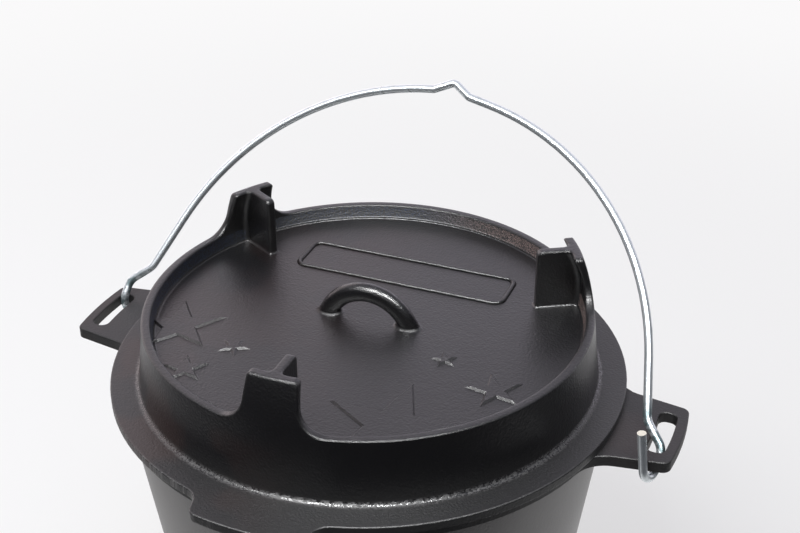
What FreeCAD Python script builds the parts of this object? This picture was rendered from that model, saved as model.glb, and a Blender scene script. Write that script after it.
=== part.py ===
"""Cast iron camp oven: a pot with two slotted ears, a lid with a coal rim, and a wire bail.

+Z is up and the feet stand on Z = 0. The pot's own axis is the Z axis, the ears point along X and
the lid's tab points along -Y. All lengths are millimetres and all angles are degrees.
"""
import FreeCAD, Part
import math
import os

import Sketcher

Vector = FreeCAD.Vector

# Driving dimensions: alias, value, what it is.
SIZES = [
    ("foot_height", 30.0, "clear height under the pot's floor"),
    ("foot_inset", 23.0, "inside of the wall at the floor, in to the middle of a foot"),
    ("foot_tip", 10.0, "radius of a foot where it touches the ground"),
    ("foot_taper", 7.0, "widening of a foot towards the pot, in degrees"),
    ("floor_thick", 7.0, "floor of the pot"),
    ("pot_depth", 135.0, "floor to rim, inside"),
    ("mouth_radius", 146.5, "inside radius at the rim"),
    ("pot_taper", 18.5, "how much smaller the inside radius is at the floor"),
    ("wall_thick", 5.6, "pot wall, measured level"),
    ("corner_inside", 15.0, "round between floor and wall, inside"),
    ("corner_outside", 21.0, "round between floor and wall, outside"),
    ("bead_width", 9.3, "radial width of the rim bead's top"),
    ("bead_height", 7.0, "height of the bead and thickness of the ears"),
    ("ear_out", 42.9, "how far an ear stands out from the bead"),
    ("ear_tip_half", 28.4, "half width of an ear at its outer edge"),
    ("ear_root_half", 35.8, "half width of an ear at the bead, before its root rounds"),
    ("ear_root_round", 22.0, "concave round between ear and bead"),
    ("ear_corner", 5.5, "round of an ear's outer corners"),
    ("ear_end", 6.2, "iron between a slot and the outer edge of its ear"),
    ("slot_width", 11.0, "radial width of a slot"),
    ("slot_half", 20.0, "half length of a slot"),
    ("slot_corner", 4.6, "round of a slot's corners"),
    ("seat_gap", 0.3, "running gap between lid flange and pot rim"),
    ("flange_out", 4.3, "how far the lid's flange stands out past the bead"),
    ("flange_thick", 5.2, "thickness of the flange and the tab"),
    ("lip_depth", 5.0, "how far the locating lip reaches into the pot"),
    ("lip_gap", 2.4, "radial gap between the lip and the pot's mouth"),
    ("skirt_height", 39.8, "flange top to the crest of the coal rim"),
    ("shelf_width", 17.7, "radial width of the flange outside the skirt"),
    ("skirt_lean", 4.4, "how far the skirt leans in up to the crest"),
    ("skirt_round", 3.0, "concave round between skirt and flange"),
    ("crest_width", 5.4, "thickness of the rim at its crest"),
    ("tray_depth", 9.8, "crest down to the plate that holds the coals"),
    ("tray_lean", 1.1, "how far the rim's inside leans in down to the plate"),
    ("plate_thick", 6.4, "thickness of the lid's plate"),
    ("lip_width", 6.9, "radial width of the lip"),
    ("hollow_lean", 3.8, "how far the hollow leans in up to the plate"),
    ("hollow_corner", 9.0, "round under the plate's edge"),
    ("leg_rise", 29.5, "crest up to the top of a lid leg"),
    ("leg_half", 14.9, "half width of a leg's bar at its top"),
    ("leg_spread", 3.4, "extra half width of the bar at the crest"),
    ("leg_blend", 16.0, "concave round from the bar down to the crest"),
    ("leg_corner", 2.6, "round of a bar's top corners"),
    ("leg_lean", 7.1, "how far the bar leans in from the crest to its top"),
    ("bar_thick", 6.4, "thickness of the bar at its top"),
    ("stem_width", 5.6, "thickness of a leg's stem"),
    ("stem_length", 19.9, "bar to the inner end of a stem, at the top"),
    ("stem_corner", 3.4, "round of a stem's top inner corner"),
    ("stem_round", 3.2, "concave round between stem and bar"),
    ("tab_out", 14.7, "how far the tab stands out from the flange"),
    ("tab_half", 33.5, "half width of the tab at its outer edge"),
    ("tab_root_half", 38.0, "half width of the tab at the flange, before its root rounds"),
    ("tab_root_round", 12.0, "concave round between tab and flange"),
    ("tab_corner", 6.0, "round of the tab's outer corners"),
    ("loop_half", 27.2, "half the span of the loop handle at the plate, on its centre line"),
    ("loop_peak", 47.2, "height above the plate where the lines of both feet would meet"),
    ("loop_bend", 28.5, "radius of the arch that joins the feet, on its centre line"),
    ("loop_thick", 12.0, "thickness of the loop, measured in the arch's own plane"),
    ("loop_width", 10.6, "width of the loop across that plane"),
    ("loop_round", 2.2, "concave round at the loop's feet"),
    ("star_slope", 45.0, "how far a star's edges lean in, in degrees"),
    ("star_height", 1.2, "how far the stars stand out of the plate"),
    ("edge_round", 1.0, "round of the cast edges"),
    ("wire_radius", 2.65, "radius of the bail wire"),
    ("hook_radius", 9.9, "centre line radius of a hook"),
    ("hook_tip", 26.0, "straight end of a hook"),
    ("hook_opening", 42.0, "how far a hook's end leans away from its arm, in degrees"),
    ("hook_twist", 9.5, "how far each hook is twisted in towards the pot, in degrees"),
    ("arm_rise", 9.0, "straight arm above the hinge line"),
    ("jog_in", 13.2, "how far an arm jogs in above its ear"),
    ("jog_rise", 13.2, "height of that jog"),
    ("jog_round", 11.0, "bend radius of the jog"),
    ("shoulder_half", 134.4, "half width to the shoulder that the arch's side rounds"),
    ("shoulder_rise", 168.4, "height of that shoulder above the hinge line"),
    ("shoulder_round", 177.0, "centre line radius of the arch"),
    ("kink_half", 12.5, "half width of the kink at the top of the bail"),
    ("kink_foot", 186.5, "height of the kink's feet above the hinge line"),
    ("kink_rise", 7.2, "height of the kink above its feet"),
    ("kink_aside", 7.4, "how far the kink sits to one side of the middle of the bail"),
    ("kink_round", 4.5, "bend radius of the kink"),
    ("bail_lean", 40.0, "how far back the bail rests, in degrees"),
    ("bail_slide", 0.5, "how far the bail has slid along its hinge line, within the play of its slots"),
]
EARS = 2
LEGS = 3
STAR_TIPS = 5
STAR_WAIST = 0.382          # inner over outer radius of a regular star

# Stars on the plate: centre along X, centre along Y, radius to the tips, angle of one tip.
STARS = [
    (97.1, -45.2, 18.7, 44.0),
    (59.5, -26.1, 9.7, 42.6),
    (54.9, -98.0, 43.7, 22.6),
    (-62.2, -59.2, 11.2, 9.9),
    (-78.0, -90.0, 16.0, 42.0),
    (-104.3, -49.9, 30.3, 39.8),
]

doc = FreeCAD.newDocument("DutchOven")
sheet = doc.addObject("Spreadsheet::Sheet", "Sizes")
for row, (alias, value, meaning) in enumerate(SIZES, start=1):
    sheet.set("A%d" % row, alias)
    sheet.set("B%d" % row, str(value))
    sheet.set("C%d" % row, meaning)
    sheet.setAlias("B%d" % row, alias)
doc.recompute()


class Size:
    """A number that remembers the sheet formula it comes from, so sketches can be bound to it."""

    def __init__(self, value, formula):
        self.value = value
        self.formula = formula

    def _join(self, other, sign, value):
        return Size(value, "(%s %s %s)" % (self.formula, sign, formula_of(other)))

    def __add__(self, other):
        return self._join(other, "+", self.value + number(other))

    def __sub__(self, other):
        return self._join(other, "-", self.value - number(other))

    def __mul__(self, other):
        return self._join(other, "*", self.value * number(other))

    def __truediv__(self, other):
        return self._join(other, "/", self.value / number(other))

    def root(self):
        return Size(math.sqrt(self.value), "sqrt(%s)" % self.formula)

    def __neg__(self):
        return Size(-self.value, "(-1 * %s)" % self.formula)


def number(size):
    return size.value if isinstance(size, Size) else float(size)


def formula_of(size):
    return size.formula if isinstance(size, Size) else repr(float(size))


def size(alias):
    """The sheet's value under this alias."""
    return Size(float(sheet.get(alias)), "Sizes.%s" % alias)


# Heights above the ground and radii that several pieces share.
floor_top = size("foot_height") + size("floor_thick")
rim_top = floor_top + size("pot_depth")
flange_bottom = rim_top + size("seat_gap")
flange_top = flange_bottom + size("flange_thick")
crest = flange_top + size("skirt_height")
plate_top = crest - size("tray_depth")
plate_bottom = plate_top - size("plate_thick")
leg_top = crest + size("leg_rise")
floor_radius = size("mouth_radius") - size("pot_taper")
bead_radius = size("mouth_radius") + size("bead_width")
flange_radius = bead_radius + size("flange_out")
skirt_foot = flange_radius - size("shelf_width")
crest_outside = skirt_foot - size("skirt_lean")
crest_inside = crest_outside - size("crest_width")
tray_radius = crest_inside - size("tray_lean")
bar_outside = crest_outside - size("leg_lean")
bar_inside = bar_outside - size("bar_thick")
stem_reach = bar_inside - size("stem_length")

# The slots in the ears, and the hinge line through the bars beside them.
ear_reach = bead_radius + size("ear_out")
slot_outer = ear_reach - size("ear_end")
slot_inner = slot_outer - size("slot_width")
slot_middle = slot_outer - size("slot_width") / 2
ear_narrowing = (size("ear_root_half") - size("ear_tip_half")) / size("ear_out")
ear_half = size("ear_tip_half") + ear_narrowing * (ear_reach - slot_middle)
bar_centre = (size("slot_half") + ear_half) / 2
hinge_height = rim_top - size("bead_height") / 2
SMOOTH = "smooth"             # an arc that carries on in line with the edge before it
SINK = 2.0                  # how deep a raised feature starts inside the iron that carries it


def new_body(label):
    body = doc.addObject("PartDesign::Body", label.capitalize())
    body.Label = label
    return body


def base_plane(body, role):
    return next(f for f in body.Origin.OriginFeatures if f.Role == role)


def new_sketch(body, name, role="XY_Plane", offset=None):
    """A sketch on one of the body's own base planes, moved by offset within that plane's frame."""
    sketch = body.newObject("Sketcher::SketchObject", name)
    sketch.AttachmentSupport = [(base_plane(body, role), "")]
    sketch.MapMode = "FlatFace"
    if offset is not None:
        sketch.AttachmentOffset = offset
    return sketch


def raised(height):
    """Attachment offset that lifts an XY sketch to this height."""
    return FreeCAD.Placement(Vector(0, 0, number(height)), FreeCAD.Rotation())


def bind_height(sketch, height):
    sketch.setExpression("AttachmentOffset.Base.z", formula_of(height))


def bind(sketch, kind, places, amount):
    """Add a dimension and bind it to the sheet."""
    index = sketch.addConstraint(Sketcher.Constraint(kind, *places, number(amount)))
    if isinstance(amount, Size):
        sketch.setExpression("Constraints[%d]" % index, amount.formula)


def hold(sketch, geometry, end, corner):
    """Fix one point of a sketch by its distances from the origin."""
    for axis, kind, amount in ((-2, "DistanceX", corner[0]), (-1, "DistanceY", corner[1])):
        if number(amount) == 0:
            sketch.addConstraint(Sketcher.Constraint("PointOnObject", geometry, end, axis))
        else:
            bind(sketch, kind, (-1, 1, geometry, end), amount)


def corner_round(before, corner, after, radius):
    """Start, middle and end of the arc that rounds a corner between two straight edges."""
    to_before = (before - corner).normalize()
    to_after = (after - corner).normalize()
    half = to_before.getAngle(to_after) / 2
    reach = radius / math.tan(half)
    bisector = (to_before + to_after).normalize()
    middle = corner + bisector * (radius / math.sin(half) - radius)
    return corner + to_before * reach, middle, corner + to_after * reach


def trace(sketch, corners, closed=True, arcs=None):
    """Draw an outline through corners, each (x, y) or (x, y, round), bound to the sheet.

    arcs names edges that are bent: edge number -> a point (x, y) that the edge passes through,
    or SMOOTH where it leaves in line with the straight edge before it.
    """
    arcs = arcs or {}
    count = len(corners)
    points = [Vector(number(c[0]), number(c[1]), 0) for c in corners]
    rounds = {}
    for i, corner in enumerate(corners):
        if len(corner) == 3:
            near = points[i - 1], points[i], points[(i + 1) % count]
            rounds[i] = corner_round(*near, number(corner[2]))
    edges = []
    for i in range(count if closed else count - 1):
        j = (i + 1) % count
        start = rounds[i][2] if i in rounds else points[i]
        end = rounds[j][0] if j in rounds else points[j]
        if i in arcs and arcs[i] == SMOOTH:
            edge = sketch.addGeometry(Part.Arc(start, smooth_middle(points[i - 1], start, end), end))
        elif i in arcs:
            through = Vector(number(arcs[i][0]), number(arcs[i][1]), 0)
            edge = sketch.addGeometry(Part.Arc(start, through, end))
        else:
            edge = sketch.addGeometry(Part.LineSegment(start, end))
        edges.append((edge, end_of(sketch, edge, start), end_of(sketch, edge, end)))
    for i, corner in enumerate(corners):
        before = edges[i - 1] if (closed or i > 0) else None
        after = edges[i] if (closed or i < count - 1) else None
        if i in rounds:
            start, middle, end = rounds[i]
            arc = sketch.addGeometry(Part.Arc(start, middle, end))
            meet = Sketcher.Constraint("Tangent", before[0], before[2], arc, end_of(sketch, arc, start))
            leave = Sketcher.Constraint("Tangent", arc, end_of(sketch, arc, end), after[0], after[1])
            mark = sketch.addGeometry(Part.Point(points[i]), True)
            on_before = Sketcher.Constraint("PointOnObject", mark, 1, before[0])
            on_after = Sketcher.Constraint("PointOnObject", mark, 1, after[0])
            sketch.addConstraint([meet, leave, on_before, on_after])
            bind(sketch, "Radius", (arc,), corner[2])
            hold(sketch, mark, 1, corner)
        else:
            if before and after:
                kind = "Tangent" if arcs.get(i) == SMOOTH else "Coincident"
                sketch.addConstraint(Sketcher.Constraint(kind, before[0], before[2], after[0], after[1]))
            anchor = (after[0], after[1]) if after else (before[0], before[2])
            hold(sketch, anchor[0], anchor[1], corner)
    for i, through in arcs.items():
        if through == SMOOTH:
            continue
        mark = sketch.addGeometry(Part.Point(Vector(number(through[0]), number(through[1]), 0)), True)
        sketch.addConstraint(Sketcher.Constraint("PointOnObject", mark, 1, edges[i][0]))
        hold(sketch, mark, 1, through)


def smooth_middle(before, start, end):
    """Middle of the arc that leaves start in line with the straight edge that arrives there."""
    along = (start - before).normalize()
    square = Vector(-along.y, along.x, 0)
    chord = end - start
    centre = start + square * (chord.Length ** 2 / (2 * chord.dot(square)))
    outwards = ((start - centre) + (end - centre)).normalize()
    return centre + outwards * (start - centre).Length


def end_of(sketch, geometry, point):
    """Which end of an edge, 1 or 2, lies at this point."""
    return 1 if (sketch.getPoint(geometry, 1) - point).Length < 1e-6 else 2


def revolve(body, sketch, name, kind="PartDesign::Revolution"):
    turn = body.newObject(kind, name)
    turn.Profile = sketch
    turn.ReferenceAxis = (sketch, ["V_Axis"])
    turn.Angle = 360
    return turn


def pad(body, sketch, name, length, midplane=False):
    up = body.newObject("PartDesign::Pad", name)
    up.Profile = sketch
    up.Length = number(length)
    up.Midplane = midplane
    if isinstance(length, Size):
        up.setExpression("Length", length.formula)
    return up


def ring(body, originals, name, count):
    """Repeat features evenly about the Z axis."""
    pattern = body.newObject("PartDesign::PolarPattern", name)
    pattern.Originals = originals
    pattern.Axis = (base_plane(body, "Z_Axis"), [""])
    pattern.Angle = 360
    pattern.Occurrences = count
    body.Tip = pattern
    doc.recompute()
    return pattern


def round_edges(body, name, radius, wanted):
    """Fillet every edge of the body whose curve, length and middle pass the test."""
    base = body.Tip
    picked = []
    for i, edge in enumerate(base.Shape.Edges, start=1):
        middle = edge.valueAt((edge.FirstParameter + edge.LastParameter) / 2)
        if wanted(edge, middle):
            picked.append("Edge%d" % i)
    fillet = body.newObject("PartDesign::Fillet", name)
    fillet.Base = (base, picked)
    fillet.Radius = number(radius)
    fillet.setExpression("Radius", formula_of(radius))
    body.Tip = fillet
    doc.recompute()
    return fillet


def upright(edge):
    """True for a straight edge that runs along Z."""
    ends = [v.Point for v in edge.Vertexes]
    return len(ends) == 2 and Vector(ends[1] - ends[0]).cross(Vector(0, 0, 1)).Length < 1e-4


def level(edge, height):
    """True for an edge that lies wholly at this height."""
    low, high = edge.BoundBox.ZMin, edge.BoundBox.ZMax
    return abs(low - number(height)) < 1e-3 and abs(high - number(height)) < 1e-3


def off_axis(point):
    return math.hypot(point.x, point.y)


def at_radius(point, radius):
    """True for a point that lies on the upright cylinder of this radius."""
    return abs(off_axis(point) - number(radius)) < 0.01


# ---------------------------------------------------------------------------------------- pot
def make_pot():
    """One casting: floor, tapered wall, rim bead, two slotted ears and three feet."""
    body = new_body("pot")
    floor_bottom = size("foot_height")
    bead_bottom = rim_top - size("bead_height")
    slope = size("pot_taper") / size("pot_depth")
    wall_foot = floor_radius + size("wall_thick") - slope * size("floor_thick")
    wall_head = size("mouth_radius") + size("wall_thick") - slope * size("bead_height")
    section = new_sketch(body, "PotSection", "XZ_Plane")
    trace(section, [
        (0, floor_bottom),
        (wall_foot, floor_bottom, size("corner_outside")),
        (wall_head, bead_bottom),
        (bead_radius, bead_bottom),
        (bead_radius, rim_top),
        (size("mouth_radius"), rim_top),
        (floor_radius, floor_top, size("corner_inside")),
        (0, floor_top),
    ])
    revolve(body, section, "PotWall")

    outline = new_sketch(body, "EarOutline", "XY_Plane", raised(bead_bottom))
    bind_height(outline, bead_bottom)
    root = size("mouth_radius") + size("wall_thick") / 2
    tip = ear_reach - size("ear_tip_half") * size("ear_tip_half") / (ear_reach * 2)
    trace(outline, [
        (root, -size("ear_root_half")),
        (tip, -size("ear_tip_half")),
        (tip, size("ear_tip_half")),
        (root, size("ear_root_half")),
    ], arcs={1: (ear_reach, 0)})
    ear = pad(body, outline, "Ear", size("bead_height"))

    slot_line = new_sketch(body, "SlotOutline", "XY_Plane", raised(rim_top))
    bind_height(slot_line, rim_top)
    drop = size("slot_half") * size("slot_half") / (slot_middle * 2)
    trace(slot_line, [
        (slot_inner - drop, -size("slot_half")),
        (slot_outer - drop, -size("slot_half")),
        (slot_outer - drop, size("slot_half")),
        (slot_inner - drop, size("slot_half")),
    ], arcs={1: (slot_outer, 0), 3: (slot_inner, 0)})
    slot = body.newObject("PartDesign::Pocket", "Slot")
    slot.Profile = slot_line
    slot.Length = number(size("bead_height") * 2)
    slot.setExpression("Length", (size("bead_height") * 2).formula)
    ring(body, [ear, slot], "EarPair", EARS)

    reach = number(tip) - 1
    slot_low = number(slot_inner - drop) - 1
    round_edges(body, "EarRoots", size("ear_root_round"),
                lambda e, m: upright(e) and at_radius(m, bead_radius))
    round_edges(body, "SlotCorners", size("slot_corner"),
                lambda e, m: upright(e) and off_axis(m) > slot_low and off_axis(m) < reach)
    round_edges(body, "EarCorners", size("ear_corner"),
                lambda e, m: upright(e) and off_axis(m) > reach)

    feet = new_sketch(body, "FootOutline", "XY_Plane")
    add_circle(feet, (0, size("foot_inset") - floor_radius), size("foot_tip"))
    foot = pad(body, feet, "Foot", size("foot_height") + size("floor_thick") / 2)
    foot.TaperAngle = number(size("foot_taper"))
    foot.setExpression("TaperAngle", size("foot_taper").formula)
    ring(body, [foot], "Feet", LEGS)

    round_edges(body, "RimEdges", size("edge_round"), lambda e, m: level(e, rim_top))
    return body


# ---------------------------------------------------------------------------------------- lid
def make_lid():
    """One casting: plate, coal rim with its skirt, flange, tab, three T legs, loop and stars."""
    body = new_body("lid")
    lip_bottom = rim_top - size("lip_depth")
    lip_radius = size("mouth_radius") - size("lip_gap")
    hollow_mouth = lip_radius - size("lip_width")
    section = new_sketch(body, "LidSection", "XZ_Plane")
    trace(section, [
        (0, plate_bottom),
        (hollow_mouth - size("hollow_lean"), plate_bottom, size("hollow_corner")),
        (hollow_mouth, lip_bottom),
        (lip_radius, lip_bottom),
        (lip_radius, flange_bottom),
        (flange_radius, flange_bottom),
        (flange_radius, crest),
        (0, crest),
    ])
    revolve(body, section, "LidBlank")

    tab_line = new_sketch(body, "TabOutline", "XY_Plane", raised(flange_bottom))
    bind_height(tab_line, flange_bottom)
    tab_reach = flange_radius + size("tab_out")
    tab_edge = size("tab_half") * size("tab_half") / (tab_reach * 2) - tab_reach
    tab_root = -bead_radius + SINK * 2
    trace(tab_line, [
        (-size("tab_root_half"), tab_root),
        (-size("tab_half"), tab_edge),
        (size("tab_half"), tab_edge),
        (size("tab_root_half"), tab_root),
    ], arcs={1: (0, -tab_reach)})
    pad(body, tab_line, "Tab", size("flange_thick"))

    bar_face = bar_inside - size("bar_thick")
    elevation = FreeCAD.Placement(Vector(0, 0, number(bar_face)), FreeCAD.Rotation())
    bar_line = new_sketch(body, "BarOutline", "XZ_Plane", elevation)
    bind_height(bar_line, bar_face)
    spread = size("leg_half") + size("leg_spread")
    blend_end = spread + size("leg_blend") * 2
    trace(bar_line, [
        (-blend_end, plate_top - SINK),
        (blend_end, plate_top - SINK),
        (blend_end, crest),
        (spread, crest, size("leg_blend")),
        (size("leg_half"), leg_top, size("leg_corner")),
        (-size("leg_half"), leg_top, size("leg_corner")),
        (-spread, crest, size("leg_blend")),
        (-blend_end, crest),
    ])
    bar = pad(body, bar_line, "LegBar", flange_radius - bar_face)
    ring(body, [bar], "LegBars", LEGS)

    # The tray and the inner faces of the bars are one turned cut.
    inner = new_sketch(body, "TraySection", "XZ_Plane")
    above = leg_top + SINK
    trace(inner, [
        (0, plate_top),
        (tray_radius, plate_top),
        (bar_inside, leg_top),
        (bar_inside, above),
        (0, above),
    ], arcs={1: (crest_inside, crest)})
    tray = revolve(body, inner, "Tray", "PartDesign::Groove")

    # The skirt, the flange top and the outer faces of the bars are another.
    outer = new_sketch(body, "SkirtSection", "XZ_Plane")
    beyond = tab_reach + SINK
    trace(outer, [
        (bar_outside, above),
        (beyond, above),
        (beyond, flange_top),
        (skirt_foot, flange_top, size("skirt_round")),
        (crest_outside, crest),
        (bar_outside, leg_top),
    ], arcs={4: SMOOTH})
    skirt = revolve(body, outer, "Skirt", "PartDesign::Groove")
    body.Tip = skirt
    doc.recompute()


    # Each leg's stem runs from its bar towards the middle; its root is inside the bar.
    stem_line = new_sketch(body, "StemOutline", "YZ_Plane")
    trace(stem_line, [
        (-stem_reach, plate_top - SINK),
        (-stem_reach, leg_top, size("stem_corner")),
        (-bar_outside + SINK / 2, leg_top),
        (-crest_outside, plate_top - SINK),
    ])
    stem = pad(body, stem_line, "Stem", size("stem_width"), midplane=True)
    ring(body, [stem], "Stems", LEGS)
    half_stem = number(size("stem_width")) / 2
    round_edges(body, "StemRoots", size("stem_round"),
                lambda e, m: m.z > number(plate_top) + 1 and follows(e, inner) and beside_spoke(m, half_stem))
    round_edges(body, "LegsOutside", size("edge_round"),
                lambda e, m: follows(e, outer) and m.z > number(crest) - 1e-3 and not seam(body, e))
    round_edges(body, "LegsInside", size("edge_round"),
                lambda e, m: not seam(body, e) and m.z > number(crest) - 1e-3
                and (follows(e, inner) or level(e, leg_top) and beside_spoke(m, half_stem)))
    round_edges(body, "PlateFoot", size("edge_round") * 2, lambda e, m: level(e, plate_top))
    round_edges(body, "TabRoots", size("tab_root_round"),
                lambda e, m: upright(e) and at_radius(m, flange_radius))
    round_edges(body, "TabCorners", size("tab_corner"),
                lambda e, m: upright(e) and off_axis(m) > number(flange_radius) + 1)

    # The loop's section stands square to its slanted feet, which both start halfway through the plate.
    loop_foot = plate_top - size("plate_thick") / 2
    loop_height = size("loop_peak") + size("plate_thick") / 2
    foot_half = size("loop_half") * loop_height / size("loop_peak")
    loop_path = new_sketch(body, "LoopPath", "XZ_Plane")
    trace(loop_path, [
        (-foot_half, loop_foot),
        (0, plate_top + size("loop_peak"), size("loop_bend")),
        (foot_half, loop_foot),
    ], closed=False)
    foot_lean = math.degrees(math.atan2(number(size("loop_half")), number(size("loop_peak"))))
    foot_at = FreeCAD.Placement(
        Vector(-number(foot_half), 0, number(loop_foot)), FreeCAD.Rotation(Vector(0, 1, 0), foot_lean))
    loop_end = new_sketch(body, "LoopSection", "XY_Plane", foot_at)
    add_ellipse(loop_end, (0, 0), size("loop_thick") / 2, size("loop_width") / 2)
    pipe(body, loop_path, loop_end, "Loop")
    loop_side = number(size("loop_half") + size("loop_thick"))
    round_edges(body, "LoopFeet", size("loop_round"),
                lambda e, m: level(e, plate_top) and off_axis(m) < loop_side)
    round_edges(body, "FlangeEdge", size("edge_round"),
                lambda e, m: level(e, flange_top) and off_axis(m) > number(flange_radius) - 1)

    star_sink = SINK / 8
    for i, (along, across, reach, turn) in enumerate(STARS, start=1):
        star_line = new_sketch(body, "StarOutline%d" % i, "XY_Plane", raised(plate_top - star_sink))
        bind_height(star_line, plate_top - star_sink)
        points = []
        for step in range(STAR_TIPS * 2):
            angle = math.radians(turn + step * 180 / STAR_TIPS)
            radius = reach * (STAR_WAIST if step % 2 else 1)
            points.append(inside_rim(along, across, radius, angle))
        trace(star_line, points)
        star = pad(body, star_line, "Star%d" % i, size("star_height") + star_sink)
        star.TaperAngle = -number(size("star_slope"))
        star.setExpression("TaperAngle", (-size("star_slope")).formula)
        body.Tip = star
    doc.recompute()
    return body


def beside_spoke(point, half_width):
    """True for a point that lies this far to one side of a leg's centre plane."""
    for step in range(LEGS):
        angle = math.radians(-90 + 360 / LEGS * step)
        sideways = -point.x * math.sin(angle) + point.y * math.cos(angle)
        outwards = point.x * math.cos(angle) + point.y * math.sin(angle)
        if outwards > 0 and abs(abs(sideways) - half_width) < 1e-3:
            return True
    return False


def follows(edge, sketch):
    """True for an edge that lies all along a face turned from this sketch."""
    for share in (0.1, 0.5, 0.9):
        point = edge.valueAt(edge.FirstParameter + share * (edge.LastParameter - edge.FirstParameter))
        turned = Part.Vertex(off_axis(point), 0, point.z)
        if sketch.Shape.distToShape(turned)[0] > 1e-3:
            return False
    return True


def seam(body, edge):
    """True for an edge where two faces run on into each other with no corner."""
    middle = edge.valueAt((edge.FirstParameter + edge.LastParameter) / 2)
    normals = []
    for face in body.Tip.Shape.ancestorsOfType(edge, Part.Face):
        normals.append(face.normalAt(*face.Surface.parameter(middle)))
    return len(normals) < 2 or abs(normals[0].dot(normals[1])) > 0.999


def inside_rim(along, across, radius, angle):
    """A star's corner, pulled back along its own ray where it would pass through the coal rim."""
    limit = number(tray_radius + size("crest_width") / 2)
    towards = along * math.cos(angle) + across * math.sin(angle)
    to_rim = math.sqrt(towards ** 2 + limit ** 2 - along ** 2 - across ** 2) - towards
    radius = min(radius, to_rim)
    return along + radius * math.cos(angle), across + radius * math.sin(angle)


def add_circle(sketch, centre, radius):
    point = Vector(number(centre[0]), number(centre[1]), 0)
    circle = sketch.addGeometry(Part.Circle(point, Vector(0, 0, 1), number(radius)))
    hold(sketch, circle, 3, centre)
    bind(sketch, "Radius", (circle,), radius)


def add_ellipse(sketch, centre, half_x, half_y):
    """An oval with its longer axis along X."""
    middle = Vector(number(centre[0]), number(centre[1]), 0)
    oval = sketch.addGeometry(Part.Ellipse(middle, number(half_x), number(half_y)))
    sketch.exposeInternalGeometry(oval)
    long_axis, short_axis = oval + 1, oval + 2
    sketch.addConstraint(Sketcher.Constraint("Horizontal", long_axis))
    hold(sketch, oval, 3, centre)
    bind(sketch, "Distance", (long_axis,), half_x * 2)
    bind(sketch, "Distance", (short_axis,), half_y * 2)


def pipe(body, path, section, name):
    """Sweep a section along every edge of a path sketch."""
    doc.recompute()
    sweep = body.newObject("PartDesign::AdditivePipe", name)
    sweep.Profile = section
    sweep.Spine = (path, ["Edge%d" % i for i in range(1, len(path.Shape.Edges) + 1)])
    body.Tip = sweep
    doc.recompute()
    return sweep


# --------------------------------------------------------------------------------------- bail
def make_bail():
    """One bent wire, drawn upright about its own hinge line and then leaned back to its rest."""
    body = new_body("bail")
    hinge_turn = math.atan2(-number(bar_centre), number(slot_middle))
    across_hinge = Vector(-math.sin(hinge_turn), math.cos(hinge_turn), 0)
    bar = Vector(number(slot_middle), -number(bar_centre), 0)
    foot = bar + across_hinge * number(size("hook_radius"))
    arm_half = (slot_middle * slot_middle + bar_centre * bar_centre
                + size("hook_radius") * size("hook_radius")).root()
    arm_turn = math.degrees(math.atan2(foot.y, foot.x))

    arch_frame = FreeCAD.Placement(Vector(), FreeCAD.Rotation(Vector(0, 1, 0), arm_turn))
    arch_path = new_sketch(body, "ArchPath", "XZ_Plane", arch_frame)
    jog_top = size("arm_rise") + size("jog_rise")
    side = [
        (arm_half, 0),
        (arm_half, size("arm_rise"), size("jog_round")),
        (arm_half - size("jog_in"), jog_top, size("jog_round")),
        (size("shoulder_half"), size("shoulder_rise"), size("shoulder_round")),
    ]
    kink = [
        (size("kink_half") - size("kink_aside"), size("kink_foot"), size("kink_round")),
        (-size("kink_aside"), size("kink_foot") + size("kink_rise"), size("kink_round")),
        (-(size("kink_half") + size("kink_aside")), size("kink_foot"), size("kink_round")),
    ]
    mirrored = [(-across, *rest) for across, *rest in reversed(side)]
    trace(arch_path, side + kink + mirrored, closed=False)
    section_at = FreeCAD.Placement(foot, FreeCAD.Rotation())
    arch_end = new_sketch(body, "ArchSection", "XY_Plane", section_at)
    add_circle(arch_end, (0, 0), size("wire_radius"))
    pipe(body, arch_path, arch_end, "Arch")

    # A hook goes down from its arm, under the ear's bar and up outside the ear.
    to_bar = bar - foot
    hook_turn = math.degrees(math.atan2(to_bar.y, to_bar.x)) - number(size("hook_twist"))
    hook_frame = FreeCAD.Placement(Vector(foot.x, 0, -foot.y), FreeCAD.Rotation(Vector(0, 1, 0), hook_turn))
    hook_path = new_sketch(body, "HookPath", "XZ_Plane", hook_frame)
    radius = number(size("hook_radius"))
    opening = math.radians(number(size("hook_opening")))
    centre = Vector(radius, 0, 0)
    leave = centre + Vector(math.cos(opening), -math.sin(opening), 0) * radius
    tip = leave + Vector(math.sin(opening), math.cos(opening), 0) * number(size("hook_tip"))
    bend = hook_path.addGeometry(Part.ArcOfCircle(
        Part.Circle(centre, Vector(0, 0, 1), radius), math.pi, 2 * math.pi - opening))
    end = hook_path.addGeometry(Part.LineSegment(leave, tip))
    hook_path.addConstraint(Sketcher.Constraint("Coincident", bend, 1, -1, 1))
    hook_path.addConstraint(Sketcher.Constraint("PointOnObject", bend, 3, -1))
    hook_path.addConstraint(Sketcher.Constraint("Tangent", bend, 2, end, 1))
    bind(hook_path, "Radius", (bend,), size("hook_radius"))
    bind(hook_path, "Distance", (end,), size("hook_tip"))
    hook_end = new_sketch(body, "HookSection", "XY_Plane", section_at)
    add_circle(hook_end, (0, 0), size("wire_radius"))
    hook = pipe(body, hook_path, hook_end, "Hook")
    ring(body, [hook], "HookPair", EARS)

    hinge_line = Vector(math.cos(hinge_turn), math.sin(hinge_turn), 0)
    lean = FreeCAD.Rotation(hinge_line, -number(size("bail_lean")))
    rest_at = hinge_line * number(size("bail_slide")) + Vector(0, 0, number(hinge_height))
    body.Placement = FreeCAD.Placement(rest_at, lean)
    print("hinge line", hinge_line, "turn", math.degrees(hinge_turn), "height", number(hinge_height))
    return body


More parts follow.
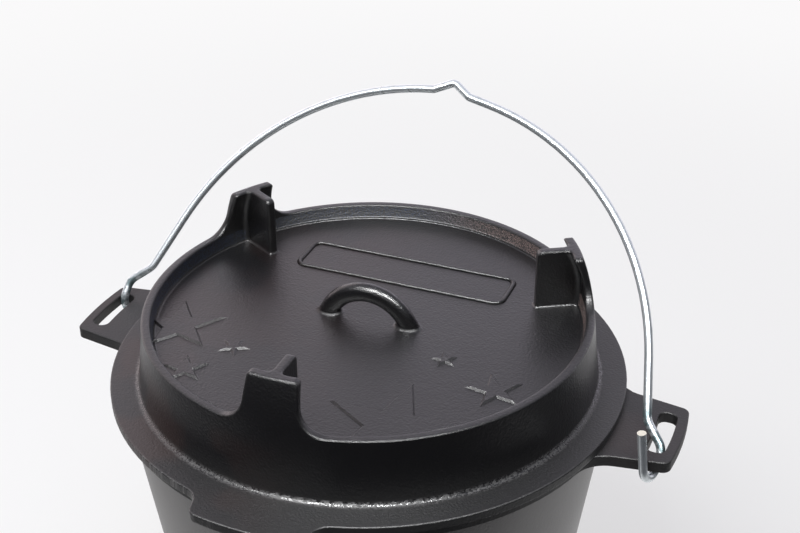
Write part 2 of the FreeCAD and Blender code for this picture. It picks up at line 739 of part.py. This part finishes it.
pieces = [make_pot(), make_lid(), make_bail()]
doc.recompute()
for thing in doc.Objects:
    if "Invalid" in thing.State or "Error" in thing.State:
        raise RuntimeError("%s did not build: %s" % (thing.Name, thing.State))
for piece in pieces:
    if piece.Shape.isNull() or not piece.Shape.isValid() or len(piece.Shape.Solids) != 1:
        raise RuntimeError("%s has no single valid solid" % piece.Label)
os.makedirs("parts", exist_ok=True)
for piece in pieces:
    piece.Shape.exportStep("parts/%s.step" % piece.Label)
    box = piece.Shape.optimalBoundingBox()
    print(piece.Label, "volume %.0f" % piece.Shape.Volume, box)
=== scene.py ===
# %% [markdown]
# # A camp oven in cast iron
# Three real pieces make this pot for cooking on embers: a footed pot, a lid with a rim that
# holds coals, and a bent wire bail. Their shapes come ready from the CAD model as a fixed
# frame. Here they get their finishes, the one small relief that the frame leaves out, and a
# plain studio to stand in. Every length is in metres.

import math

import bpy
import numpy as np
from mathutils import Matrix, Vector


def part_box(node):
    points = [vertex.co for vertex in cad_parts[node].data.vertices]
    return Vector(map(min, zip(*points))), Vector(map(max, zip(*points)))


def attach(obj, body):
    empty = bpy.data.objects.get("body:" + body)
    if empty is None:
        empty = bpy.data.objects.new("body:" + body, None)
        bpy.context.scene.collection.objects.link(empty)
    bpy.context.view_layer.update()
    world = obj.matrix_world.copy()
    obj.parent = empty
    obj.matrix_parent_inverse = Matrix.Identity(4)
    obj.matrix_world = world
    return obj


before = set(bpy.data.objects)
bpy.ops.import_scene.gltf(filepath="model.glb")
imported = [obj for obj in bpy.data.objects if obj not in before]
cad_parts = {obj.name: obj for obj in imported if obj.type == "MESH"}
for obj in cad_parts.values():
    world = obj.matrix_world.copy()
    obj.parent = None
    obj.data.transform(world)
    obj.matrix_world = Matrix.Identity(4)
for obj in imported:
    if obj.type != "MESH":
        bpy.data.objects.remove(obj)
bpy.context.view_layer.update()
pot_low, pot_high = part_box("pot")
lid_low, lid_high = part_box("lid")
bail_low, bail_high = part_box("bail")


def in_mm(box):
    """The corners of a box in millimetres, for printing."""
    return [[round(v * 1000, 1) for v in corner] for corner in box]


print("pot and lid in mm:", in_mm([pot_low, pot_high]), in_mm([lid_low, lid_high]))
print("bail in mm:", in_mm([bail_low, bail_high]))

# %% [markdown]
# ## The camera
# A camp oven is best seen from a little above, where the coal tray, the three legs and the
# bail all show. A constraint could aim the camera at the pot, but it hides the angles. Here a
# tilt, a hair of roll and a turn are plain numbers. A long lens about a metre off keeps the
# circles from swelling.

# %% Camera
CAMERA_PLACE = (0.2901, -0.6694, 0.6652)
CAMERA_DEGREES = (60.02, 0.16, 21.81)
CAMERA_LENS = 62.8


def stand(name, data):
    """A new object for a camera, mesh or lamp, linked to the scene."""
    thing = bpy.data.objects.new(name, data)
    bpy.context.scene.collection.objects.link(thing)
    return thing


camera_data = bpy.data.cameras.new("studio_camera")
camera_data.lens = CAMERA_LENS
camera = stand("studio_camera", camera_data)
camera.location = CAMERA_PLACE
camera.rotation_euler = [math.radians(angle) for angle in CAMERA_DEGREES]
bpy.context.scene.camera = camera
print("camera distance in mm:", round(camera.location.length * 1000))

# %% [markdown]
# ## Expressions for finishes
# A finish is arithmetic on places: how far a point lies from the pot's axis, how high it is,
# how a noise runs there. The node editor can hold that, but it gets long, and so does code
# that makes one node per line. So a small class wraps one node socket. Sums and products of
# its objects add the Math nodes, and one method adds any other kind of node.


# %% The class Reading
class Reading:
    """A number, vector or colour that a material knows at every point of a surface."""

    def __init__(self, tree, socket):
        self.tree = tree
        self.socket = socket

    def node(self, kind, values, out=0, **settings):
        """Adds a node: its settings first, then the values or links of its sockets."""
        made = self.tree.nodes.new(kind)
        for name, value in settings.items():
            setattr(made, name, value)
        for name, value in values.items():
            self.join(value, made.inputs[name])
        return Reading(self.tree, made.outputs[out])

    def join(self, value, socket):
        """Links a reading to a socket, or sets a plain value on it."""
        if isinstance(value, Reading):
            self.tree.links.new(value.socket, socket)
        else:
            socket.default_value = value

    def maths(self, operation, *values):
        """A Math node on numbers."""
        return self.node("ShaderNodeMath", dict(enumerate(values)), operation=operation)

    def vector(self, operation, *values, out=0):
        """A Vector Math node: output 0 is its vector, and output 1 its number."""
        values = dict(enumerate(values))
        return self.node("ShaderNodeVectorMath", values, out, operation=operation)

    def __add__(self, other):
        return self.maths("ADD", self, other)

    def __sub__(self, other):
        return self.maths("SUBTRACT", self, other)

    def __rsub__(self, other):
        return self.maths("SUBTRACT", other, self)

    def __mul__(self, other):
        return self.maths("MULTIPLY", self, other)

    def __truediv__(self, other):
        return self.maths("DIVIDE", self, other)

    def __pow__(self, other):
        return self.maths("POWER", self, other)

    __radd__ = __add__
    __rmul__ = __mul__

    def most(self, other):
        """The larger of two numbers, which lays one mask over another."""
        return self.maths("MAXIMUM", self, other)

    def size(self):
        """The number without its sign."""
        return self.maths("ABSOLUTE", self)

    def rise(self, low, high):
        """0 below low, 1 above high, and a smooth step between; high may be the smaller."""
        limits = {"Value": self, "From Min": low, "From Max": high}
        return self.node("ShaderNodeMapRange", limits, interpolation_type="SMOOTHSTEP")

    def parts(self):
        """The three numbers of a vector."""
        split = self.node("ShaderNodeSeparateXYZ", {0: self})
        return [Reading(self.tree, socket) for socket in split.socket.node.outputs]

    def along(self, direction):
        """How far a vector reaches along a direction: their dot product."""
        return self.vector("DOT_PRODUCT", self, direction, out=1)

    def stretched(self, x, y, z):
        """A vector with its parts multiplied; a factor below 1 draws a pattern out."""
        return self.vector("MULTIPLY", self, (x, y, z))

    def noise(self, scale, detail=2.0, roughness=0.5):
        """A soft grain of about 1/scale metres, between 0 and 1."""
        values = {"Vector": self, "Scale": scale, "Detail": detail, "Roughness": roughness}
        return self.node("ShaderNodeTexNoise", values)

    def between(self, first, second):
        """A colour mixed from first to second by this number."""
        colours = {0: self, 6: first, 7: second}
        return self.node("ShaderNodeMix", colours, 2, data_type="RGBA")

    def bump(self, strength, distance, **normal):
        """A normal tilted as if this number stood up from the surface by distance."""
        values = {"Height": self, "Strength": strength, "Distance": distance, **normal}
        return self.node("ShaderNodeBump", values)


print("class Reading is ready")


# %% Where a finish starts
def reading_of(tree, kind, output):
    """A reading to start from: one output of a new node whose inputs stay empty."""
    return Reading(tree, tree.nodes.new(kind).outputs[output])


def finish_of(name):
    """A new material with its shader and its Object coordinates."""
    material = bpy.data.materials.new(name)
    material.use_nodes = True
    tree = material.node_tree
    place = reading_of(tree, "ShaderNodeTexCoord", "Object")
    return material, tree.nodes["Principled BSDF"], place


def distance_from_axis(x, y):
    """The root of x squared plus y squared."""
    return (x * x + y * y) ** 0.5


print("finishes start from Object coordinates")

# %% [markdown]
# ## Seasoned cast iron
# Sand casting leaves a fine grain all over, and seasoning bakes oil into a black satin skin.
# The skin isn't even: it drifts between bluish and brownish black. Edges, corners and the
# round at the skirt's foot are painted paler, partly as wear where the hand rubs and partly as
# a painted highlight line. Such a grain could be modelled, but it is finer than any sensible
# mesh. It is a bump of two noises here, and the drift is a third, slow one, so nothing repeats
# and nothing shows a seam.

# %% Grain and skin of the iron
BLACK_SKIN = (0.0050, 0.0046, 0.0056, 1.0)
BROWN_SKIN = (0.0180, 0.0080, 0.0070, 1.0)
PALE_WEAR_AND_HIGHLIGHT = (0.090, 0.085, 0.085, 1.0)
DRIFT_SCALE = 16.0
FINE_SCALE = 720.0
COARSE_SCALE = 330.0
GRAIN_STRENGTH = 0.9


def iron_skin(place):
    """The slow drift of the skin, the fine grain of the sand, and fine and coarse together."""
    drift = place.noise(DRIFT_SCALE, 3.0)
    fine = place.noise(FINE_SCALE, 2.0)
    coarse = place.noise(COARSE_SCALE, 3.0, 0.6)
    return drift, fine, fine * 0.9 + coarse * 0.3


print("iron skins:", BLACK_SKIN[:3], BROWN_SKIN[:3], PALE_WEAR_AND_HIGHLIGHT[:3])

# %% [markdown]
# ## The zones of the lid
# The lid is one casting, but its surfaces differ. The flange's edge was ground, and its pale
# marks are painted on the left side alone, where the light falls, so they are partly painted
# light. The inside of the coal rim gets painted glints, the loop is worn smooth, and oil
# gathers in corners. Each zone could be a material slot on its own faces, which gives hard
# borders. Instead one material works out every zone as a product of fades, in distance from
# the axis and in height, so zones end softly and follow the CAD's own levels. A fade is a pair
# of numbers: where it is 0, and where it is 1.

# %% Levels on the lid
LEG_RISE = 0.0295
TRAY_DEPTH = 0.0098
CREST = lid_high.z - LEG_RISE
PLATE = CREST - TRAY_DEPTH
RIM_INSIDE = 0.1325
TRAY_RADIUS = 0.1314
print("crest and plate in mm:", round(CREST * 1000, 1), round(PLATE * 1000, 1))

# %% Readings on the lid
lid_iron, lid_shader, place = finish_of("lid_iron")
x, y, z = place.parts()
radius = distance_from_axis(x, y)
drift, fine, sand = iron_skin(place)
own = place.node("ShaderNodeNewGeometry", {}, "Normal")
print("the lid's finish is", lid_iron.name)

# %% The flange and its ground edge
# The edge is ground upright, so its marks run along z and change round the rim. The marks are
# kept to the left, the side where light falls on the edge, so their pale colour is partly
# painted light.
EDGE_RADIUS = (0.1593, 0.1598)
EDGE_BELOW = (0.1776, 0.1770)
EDGE_LIT_LEFT = (0.0, -0.05)
FLANGE_RADIUS = (0.1440, 0.1455)
FLANGE_BELOW = (0.1783, 0.1778)
GRINDING_SCALE = 700.0
GRINDING_DRAWN = 0.05
edge = radius.rise(*EDGE_RADIUS) * z.rise(*EDGE_BELOW) * x.rise(*EDGE_LIT_LEFT)
grinding = place.stretched(1.0, 1.0, GRINDING_DRAWN).noise(GRINDING_SCALE, 2.0)
flange = radius.rise(*FLANGE_RADIUS) * z.rise(*FLANGE_BELOW)
print("ground edge from a radius of", EDGE_RADIUS[0] * 1000, "mm")

# %% The inside of the coal rim
# It is the face whose own normal points to the axis, which leaves out the legs' sides. Its
# foot is the narrow round where it meets the plate.
RIM_BEHIND = (RIM_INSIDE + 0.0006, RIM_INSIDE + 0.0002)
WALL_RADIUS = (TRAY_RADIUS - 0.0007, TRAY_RADIUS - 0.0002)
WALL_ABOVE = (PLATE + 0.0006, PLATE + 0.0014)
WALL_BELOW = (CREST - 0.0007, CREST - 0.0013)
WALL_INWARD = (-0.75, -0.92)
ROUND_RADIUS = (TRAY_RADIUS - 0.0028, TRAY_RADIUS - 0.0020)
ROUND_BELOW = (PLATE + 0.0014, PLATE + 0.0006)
ROUND_ABOVE = (PLATE, PLATE + 0.0001)
GLINT_SCALE = 1500.0
GLINT_SPOTS = (0.45, 0.62)
outward = own.along(place.stretched(1.0, 1.0, 0.0)) / radius
in_tray = radius.rise(*RIM_BEHIND)
rim_wall = in_tray * radius.rise(*WALL_RADIUS) * z.rise(*WALL_ABOVE) * z.rise(*WALL_BELOW)
rim_wall = rim_wall * outward.rise(*WALL_INWARD)
rim_foot = in_tray * radius.rise(*ROUND_RADIUS) * z.rise(*ROUND_BELOW) * z.rise(*ROUND_ABOVE)
# Painted glints: pale spots of colour on the coal rim's wall stand for glints of light.
painted_glints = place.noise(GLINT_SCALE, 2.0).rise(*GLINT_SPOTS)
print("coal rim's wall from a radius of", round(WALL_RADIUS[1] * 1000, 1), "mm")

# %% Loop, legs, plate and stars
# Hooks and hands rub the loop smooth, and the ground rubs the legs. The stars' sides that
# slope to the front are a little coarser than the plate, so they flash less.
LOOP_ABOVE = (PLATE + 0.0005, PLATE + 0.003)
LOOP_WIDTH = (0.014, 0.011)
LOOP_LENGTH = (0.040, 0.036)
LEGS_ABOVE = (CREST - 0.0015, CREST)
PLATE_BELOW = (PLATE + 0.0016, PLATE + 0.0012)
TO_FRONT = (0.37, -0.93, 0.0)
SLOPE_FORWARD = (0.50, 0.62)
STARS_BEFORE = (0.045, 0.040)
loop = z.rise(*LOOP_ABOVE) * y.size().rise(*LOOP_WIDTH) * x.size().rise(*LOOP_LENGTH)
above = z.rise(*LEGS_ABOVE)
on_plate = radius.rise(RIM_INSIDE, TRAY_RADIUS) * z.rise(*PLATE_BELOW)
slopes = on_plate * own.along(TO_FRONT).rise(*SLOPE_FORWARD) * y.rise(*STARS_BEFORE)
print("loop up to", LOOP_LENGTH[1] * 1000, "mm to each side")

# %% Edges, corners and the skirt's foot
# Edges are handled most and corners gather oil, so both are glossier and their grain shows. A
# bevelled normal differs from the surface's own one only there. The round at the skirt's foot
# is too wide for that, so it has fades of its own.
CORNER_WIDTH = 0.0018
CORNER_TURN = (0.985, 0.90)
FOOT_FROM = (0.1418, 0.1424)
FOOT_TO = (0.1462, 0.1450)
FOOT_BELOW = (0.1818, 0.1808)
bevelled = place.node("ShaderNodeBevel", {"Radius": CORNER_WIDTH}, samples=8)
foot = radius.rise(*FOOT_FROM) * radius.rise(*FOOT_TO) * z.rise(*FOOT_BELOW)
rims = own.along(bevelled).rise(*CORNER_TURN).most(foot)
print("corners within", CORNER_WIDTH * 1000, "mm of an edge")

# %% [markdown]
# ## The lid's finish
# The real lid is one skin, worn here and sandy there. Its colour, its grain and its gloss
# could each be painted on a map. Sums of zones keep them adjustable instead: every zone adds
# or takes a little, and the number beside it says how much.

# %% Colour of the lid
GLINT_BLUE = (0.020, 0.040, 0.095, 1.0)
GLINT_WARM = (0.240, 0.170, 0.155, 1.0)
BROWN_DRIFT = (0.42, 0.56)
BROWN_BELOW = (0.214, 0.200)
BROWN_LEFT = (0.03, -0.05)
WARM_RIGHT = (-0.03, 0.04)
GRINDING_MARKS = (0.45, 0.65)
brown = drift.rise(*BROWN_DRIFT) * z.rise(*BROWN_BELOW) * x.rise(*BROWN_LEFT)
skin = brown.between(BLACK_SKIN, BROWN_SKIN)
# Painted glints on the coal rim's wall: bluish spots, turning warm towards the right, laid
# into the skin's colour.
glint_colour = x.rise(*WARM_RIGHT).between(GLINT_BLUE, GLINT_WARM)
skin = (rim_wall * painted_glints * 0.9).between(skin, glint_colour)
# Painted highlight and wear: edges, corners and the skirt's foot are painted paler, together
# with the ground marks on the edge's lit side.
worn_and_highlit = (edge * grinding.rise(*GRINDING_MARKS)).most(rims * 0.3)
skin = worn_and_highlit.between(skin, PALE_WEAR_AND_HIGHLIGHT)
place.join(skin, lid_shader.inputs["Base Color"])
print("coal rim from", GLINT_BLUE[:3], "to", GLINT_WARM[:3])

# %% Grain of the lid
# The legs' edges are worn rounder, which a wider bevelled normal shows above the crest. The
# coal rim's wall leans outwards by its draft, so its normal gets a little z, and the round at
# its foot turns down.
LID_RELIEF = 0.0004
WORN_WIDTH = 0.0025
LEAN_RIGHT = (-0.125, -0.090)
grain = 0.75 + on_plate * 0.15 + rims * 0.35 - foot * 0.45 + rim_wall * 0.1
height = sand * grain + edge * grinding
worn = place.node("ShaderNodeBevel", {"Radius": WORN_WIDTH}, samples=6)
worn = place.node("ShaderNodeMix", {0: above, 4: own, 5: worn}, 1, data_type="VECTOR")
lean = rim_wall * x.rise(*LEAN_RIGHT) * 0.33 - rim_foot * 0.4
lean = place.node("ShaderNodeCombineXYZ", {"Z": lean})
worn = worn.vector("NORMALIZE", worn.vector("ADD", worn, lean))
grained = height.bump(GRAIN_STRENGTH, LID_RELIEF, Normal=worn)
place.join(grained, lid_shader.inputs["Normal"])
print("grain of the lid stands up to", LID_RELIEF * 1000, "mm")

# %% Roughness of the lid
# The light on the skirt's foot is broken up by spots of coarse, dull sand.
IRON_IOR = 1.7
LID_ROUGHNESS = 0.33
DULL_SPOTS = (0.42, 0.56)
rough = LID_ROUGHNESS + drift * 0.05 - loop * 0.09 - rims * 0.15
rough = rough + rim_wall * 0.10 + flange * 0.14 + slopes * 0.20
rough = rough + foot * fine.rise(*DULL_SPOTS) * 0.40
place.join(rough, lid_shader.inputs["Roughness"])
lid_shader.inputs["IOR"].default_value = IRON_IOR
print("lid iron has", len(lid_iron.node_tree.nodes), "nodes")

# %% [markdown]
# ## The pot's iron
# The pot is cast in the same sand but handled less. Its rim and ears are as black as the lid.
# Its wall is painted a paler grey: a painted reflection of the pale floor that the wall
# mirrors. It could share the lid's material, but none of the lid's zones lie on it, so a short
# one of its own is clearer.

# %% The pot's finish
FLOOR_REFLECTION_GREY = (0.080, 0.074, 0.073, 1.0)
POT_IOR = 1.62
POT_RELIEF = 0.00025
POT_ROUGHNESS = 0.50
POT_BROWN = (0.46, 0.64)
BELOW_RIM = (0.166, 0.160)
pot_iron, pot_shader, place = finish_of("pot_iron")
drift, fine, sand = iron_skin(place)
brown = drift.rise(*POT_BROWN) * 0.7
below_rim = place.parts()[2].rise(*BELOW_RIM)
# Below the rim the skin is painted paler grey, a painted reflection of the floor.
skin = below_rim.between(brown.between(BLACK_SKIN, BROWN_SKIN), FLOOR_REFLECTION_GREY)
rough = POT_ROUGHNESS + drift * 0.06 - below_rim * 0.14
place.join(skin, pot_shader.inputs["Base Color"])
place.join(rough, pot_shader.inputs["Roughness"])
place.join(sand.bump(GRAIN_STRENGTH, POT_RELIEF), pot_shader.inputs["Normal"])
pot_shader.inputs["IOR"].default_value = POT_IOR
print("pot iron has", len(pot_iron.node_tree.nodes), "nodes")

# %% [markdown]
# ## Zinc-plated wire
# The bail is drawn steel wire with a bright zinc plating. Drawing leaves fine streaks along
# the wire, the plating has dull patches here and there, and the end shows the bare cut. In the
# bend at the right slot the wire is painted dark and bluish: painted shade where the ear and
# the pot shade it. The streaks could follow the wire's length through a UV map. But the wire
# runs mostly up and down, so a noise drawn out along the height is enough. A slow noise makes
# the dull patches and the spots of painted shade in the bend, and a disc at the wire's end is
# the cut.

# %% Colours and places on the bail
BRIGHT_ZINC = (0.78, 0.83, 0.85, 1.0)
DULL_AND_SHADED_ZINC = (0.16, 0.23, 0.24, 1.0)
CUT_END = (0.80, 0.76, 0.66, 1.0)
CUT_PLACE = (0.18043, -0.03486, 0.19383)
CUT_FACING = (-0.1132, -0.0129, 0.9935)
CUT_DEPTH = (-0.00015, -0.00005)
CUT_RADIUS = (0.004, 0.003)
BEND_BELOW = (0.194, 0.182)
BEND_ABOVE = (0.158, 0.166)
BEND_BEHIND = (-0.024, -0.016)
print("the cut end lies at a height of", CUT_PLACE[2] * 1000, "mm")

# %% The bail's finish
CLOUD_SCALE = 150.0
BEND_CLOUDS = (0.40, 0.54)
DULL_CLOUDS = (0.52, 0.74)
STREAK_SCALE = 900.0
STREAK_DRAWN = 0.25
STREAK_STRENGTH = 0.15
WIRE_RELIEF = 0.0001
zinc, zinc_shader, place = finish_of("bail_zinc")
x, y, z = place.parts()
clouds = place.noise(CLOUD_SCALE, 3.0)
streaks = place.stretched(1.0, 1.0, STREAK_DRAWN).noise(STREAK_SCALE, 2.0)
# Painted shade: the bend at the right slot, where the ear shades the wire, is painted dark and
# bluish.
shaded_bend = z.rise(*BEND_BELOW) * z.rise(*BEND_ABOVE) * y.rise(*BEND_BEHIND)
shaded_bend = shaded_bend * clouds.rise(*BEND_CLOUDS)
dull_and_shaded = (shaded_bend * 0.9).most(clouds.rise(*DULL_CLOUDS) * 0.30)
cut = place.vector("SUBTRACT", place, CUT_PLACE).along(CUT_FACING).rise(*CUT_DEPTH)
cut = cut * place.vector("DISTANCE", place, CUT_PLACE, out=1).rise(*CUT_RADIUS)
skin = cut.between(dull_and_shaded.between(BRIGHT_ZINC, DULL_AND_SHADED_ZINC), CUT_END)
place.join(skin, zinc_shader.inputs["Base Color"])
place.join(0.24 + clouds * 0.10 + cut * 0.3, zinc_shader.inputs["Roughness"])
place.join(0.70 - cut * 0.4, zinc_shader.inputs["Metallic"])
place.join(streaks.bump(STREAK_STRENGTH, WIRE_RELIEF), zinc_shader.inputs["Normal"])
print("zinc has", len(zinc.node_tree.nodes), "nodes")

# %% Finishes on the frame
for node, material in (("pot", pot_iron), ("lid", lid_iron), ("bail", zinc)):
    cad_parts[node].data.materials.clear()
    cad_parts[node].data.materials.append(material)
    print(node, "wears", material.name)

# %% [markdown]
# ## The plain panel on the lid
# Makers often cast a raised panel between the loop and the back of the tray. Here it stays
# empty: one raised line round an oblong with rounded corners. A bevelled curve could draw it,
# but its section would be round. So it is a profile carried along a closed path: the path is
# a rounded oblong, and the profile is a low rib with a flat top and sides at 45 degrees, the
# slope that lets a pattern leave its sand.

# %% The panel's path
PANEL_MIDDLE = (0.0, 0.0612)
PANEL_HALF = (0.0705, 0.0158)
PANEL_CORNER = 0.006
CORNER_STEPS = 9


def rounded_oblong(half_x, half_y, corner, steps):
    """Points and outward directions round an oblong with quarter-circle corners.

    Each corner turns through 90 degrees about its own centre, so a point is that centre plus
    the corner's radius along the direction, and straight sides join one corner to the next.
    """
    quarter = np.linspace(0.0, np.pi / 2, steps)
    turns = (quarter[None, :] + np.arange(4)[:, None] * np.pi / 2).ravel()
    outward = np.stack([np.cos(turns), np.sin(turns)], 1)
    signs = np.repeat(np.array([[1, 1], [-1, 1], [-1, -1], [1, -1]]), steps, 0)
    centres = signs * np.array([half_x - corner, half_y - corner])
    return centres + corner * outward, outward


line, outward = rounded_oblong(*PANEL_HALF, PANEL_CORNER, CORNER_STEPS)
print("panel path:", len(line), "points")

# %% The panel's profile
RIB_HALF_TOP = 0.0007
RIB_RISE = 0.0013
RIB_SINK = 0.0003
EASED_ACROSS = 0.0001
EASED_DOWN = 0.00015


def rib_profile(half_top, rise, sink):
    """Across and up distances of a flat-topped rib whose sides slope at 45 degrees.

    Its top reaches half_top to each side, and each side runs on down to sink below the plate.
    The top corners are eased: one point lies just inside the corner and one just below it.
    """
    half_foot = half_top + rise + sink
    across = np.array([half_foot, half_top + EASED_ACROSS, half_top - EASED_ACROSS])
    up = np.array([-sink, rise - EASED_DOWN, rise])
    return np.concatenate([across, -across[::-1]]), np.concatenate([up, up[::-1]])


across, up = rib_profile(RIB_HALF_TOP, RIB_RISE, RIB_SINK)
print("rib in mm:", RIB_RISE * 1000, "high,", RIB_HALF_TOP * 2000, "wide on top")


# %% The panel line
def closed_mesh(name, grid):
    """A mesh from a grid of points that closes on itself in both directions.

    Each face joins a point to the next ones along its row, its column and both, and the last
    row and column join the first.
    """
    rows, columns = grid.shape[:2]
    index = np.arange(rows * columns).reshape(rows, columns)
    right = np.roll(index, -1, 1)
    up = np.roll(index, -1, 0)
    corner = np.roll(up, -1, 1)
    faces = np.stack([index, up, corner, right], -1).reshape(-1, 4)
    mesh = bpy.data.meshes.new(name)
    mesh.from_pydata(grid.reshape(-1, 3), [], faces)
    mesh.polygons.foreach_set("use_smooth", np.ones(len(faces), bool))
    mesh.update()
    return stand(name, mesh)


flat = line[:, None, :] + across[None, :, None] * outward[:, None, :] + np.array(PANEL_MIDDLE)
level = np.broadcast_to(PLATE + up, flat.shape[:2])
panel = closed_mesh("lid_panel_line", np.concatenate([flat, level[..., None]], -1))
panel.data.materials.append(lid_iron)
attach(panel, "lid")
print("panel line:", len(panel.data.polygons), "faces")

# %% [markdown]
# ## The floor
# The oven stands on a wide pale sheet. One even white would do for the camera, but black iron
# shows little colour of its own: nearly all that the eye reads on it is what it mirrors, and a
# floor that is pale all round turns it grey. So the floor is even and keeps the oven's shadow
# where the camera sees it, and in the iron it is dark in front of the oven and bright behind
# it and close by.

# %% The floor's sheet
FLOOR_HALF = 6.0
floor_mesh = bpy.data.meshes.new("floor")
corners = np.array([(-1, -1, 0), (1, -1, 0), (1, 1, 0), (-1, 1, 0)], float) * FLOOR_HALF
floor_mesh.from_pydata(corners, [], [(0, 1, 2, 3)])
floor = stand("floor", floor_mesh)
print("floor:", FLOOR_HALF * 2, "m wide")

# %% Colours and borders of the floor
PALE = (0.955, 0.95, 0.955, 1.0)
SEEN_SHEET = (0.83, 0.835, 0.82, 1.0)
FRONT_SHEET = (0.03, 0.03, 0.035, 1.0)
BACK_SHEET = (0.92, 0.90, 0.89, 1.0)
TO_WALL = (-0.37, 0.93, 0.0)
SHEET_BACK = (-0.05, 0.50)
GLOW_BACK = (0.10, 0.40)
NEAR_OVEN = (0.50, 0.32)
NEAR_BACK = (-0.30, -0.10)
FAR_OUT = (0.3, 1.3)
GLOW_MIRRORED = 0.95
GLOW_NEAR = 0.60
GLOW_FAR = 0.40
print("floor colours seen:", PALE[:3], SEEN_SHEET[:3])


# %% The floor's paint
def end_with(last, kind):
    """Joins the last reading to the surface of a new output node."""
    output = last.tree.nodes.new(kind)
    last.join(last, output.inputs["Surface"])


floor_paint = bpy.data.materials.new("floor_paint")
floor_paint.use_nodes = True
tree = floor_paint.node_tree
tree.nodes.clear()
seen = reading_of(tree, "ShaderNodeLightPath", "Is Camera Ray")
place = reading_of(tree, "ShaderNodeTexCoord", "Object")
towards_wall = place.along(TO_WALL)
away = place.vector("LENGTH", place, out=1)
sheet = towards_wall.rise(*SHEET_BACK).between(FRONT_SHEET, BACK_SHEET)
sheet = seen.between(sheet, SEEN_SHEET)
matt = seen.node("ShaderNodeBsdfDiffuse", {"Color": sheet})
glow = seen.node("ShaderNodeEmission", {"Color": PALE, "Strength": 1.0})
near = away.rise(*NEAR_OVEN) * towards_wall.rise(*NEAR_BACK)
mirrored = (1 - seen) * towards_wall.rise(*GLOW_BACK).most(near) * GLOW_MIRRORED
share = seen * (GLOW_NEAR + away.rise(*FAR_OUT) * GLOW_FAR) + mirrored
both = seen.node("ShaderNodeMixShader", {0: share, 1: matt, 2: glow})
end_with(both, "ShaderNodeOutputMaterial")
floor.data.materials.append(floor_paint)
print("floor paint has", len(tree.nodes), "nodes")

# %% [markdown]
# ## The light
# Three big lamps could light the oven, but they would show as three squares in the iron. Here
# the room itself does most of the work. A bright wall behind, with a darker band high up,
# gives the level plate its sheen, and a dim room in front keeps the legs and the skirt black.
# A long narrow box draws the bright line on every rounded edge, and it shows in gloss alone.
# A second box lights only matt skin and casts the soft shadow.

# %% Colours and borders of the room
ROOM_FRONT_LOW = (0.06, 0.06, 0.065, 1.0)
ROOM_FRONT_HIGH = (0.50, 0.52, 0.58, 1.0)
ROOM_BACK_RIGHT = (1.14, 1.08, 1.22, 1.0)
ROOM_BACK_LEFT = (1.75, 1.55, 1.60, 1.0)
ROOM_BAND = (0.36, 0.34, 0.39, 1.0)
TO_LEFT = (-0.93, -0.37, 0.0)
BACK_FADE = (0.10, 0.65)
FRONT_FADE = (0.30, 0.90)
BAND_FROM = (0.52, 0.68)
BAND_TO = (0.95, 0.82)
LEFT_FADE = (-0.05, 0.50)
print("back wall from", ROOM_BACK_LEFT[:3], "to", ROOM_BACK_RIGHT[:3])

# %% The room
world = bpy.data.worlds.new("studio")
bpy.context.scene.world = world
world.use_nodes = True
tree = world.node_tree
tree.nodes.clear()
seen = reading_of(tree, "ShaderNodeLightPath", "Is Camera Ray")
direction = reading_of(tree, "ShaderNodeTexCoord", "Generated")
wall = direction.along(TO_WALL).rise(*BACK_FADE)
height = direction.parts()[2]
front = height.rise(*FRONT_FADE).between(ROOM_FRONT_LOW, ROOM_FRONT_HIGH)
band = height.rise(*BAND_FROM) * height.rise(*BAND_TO)
back = direction.along(TO_LEFT).rise(*LEFT_FADE).between(ROOM_BACK_RIGHT, ROOM_BACK_LEFT)
light = wall.between(front, band.between(back, ROOM_BAND))
light = seen.between(light, PALE)
background = seen.node("ShaderNodeBackground", {"Color": light, "Strength": 1.0})
end_with(background, "ShaderNodeOutputWorld")
print("the room has", len(tree.nodes), "nodes")

# %% The two boxes
LAMP_AIM = (0.0, 0.0, 0.2)


def soft_box(name, place, size, watts, in_gloss):
    """An area lamp that faces the lid: seen in gloss alone, or lighting matt skin alone."""
    data = bpy.data.lights.new(name, "AREA")
    data.shape = "RECTANGLE"
    data.size, data.size_y = size
    data.energy = watts
    lamp = stand(name, data)
    lamp.location = place
    aim = Vector(LAMP_AIM) - lamp.location
    lamp.rotation_euler = aim.to_track_quat("-Z", "Y").to_euler()
    lamp.visible_glossy = in_gloss
    lamp.visible_diffuse = not in_gloss


soft_box("strip_box", place=(0.15, -0.76, 1.58), size=(1.8, 0.10), watts=62.0, in_gloss=True)
soft_box("fill_box", place=(-0.75, -0.45, 1.55), size=(1.2, 1.2), watts=22.0, in_gloss=False)

# %% The view transform
bpy.context.scene.view_settings.view_transform = "Standard"
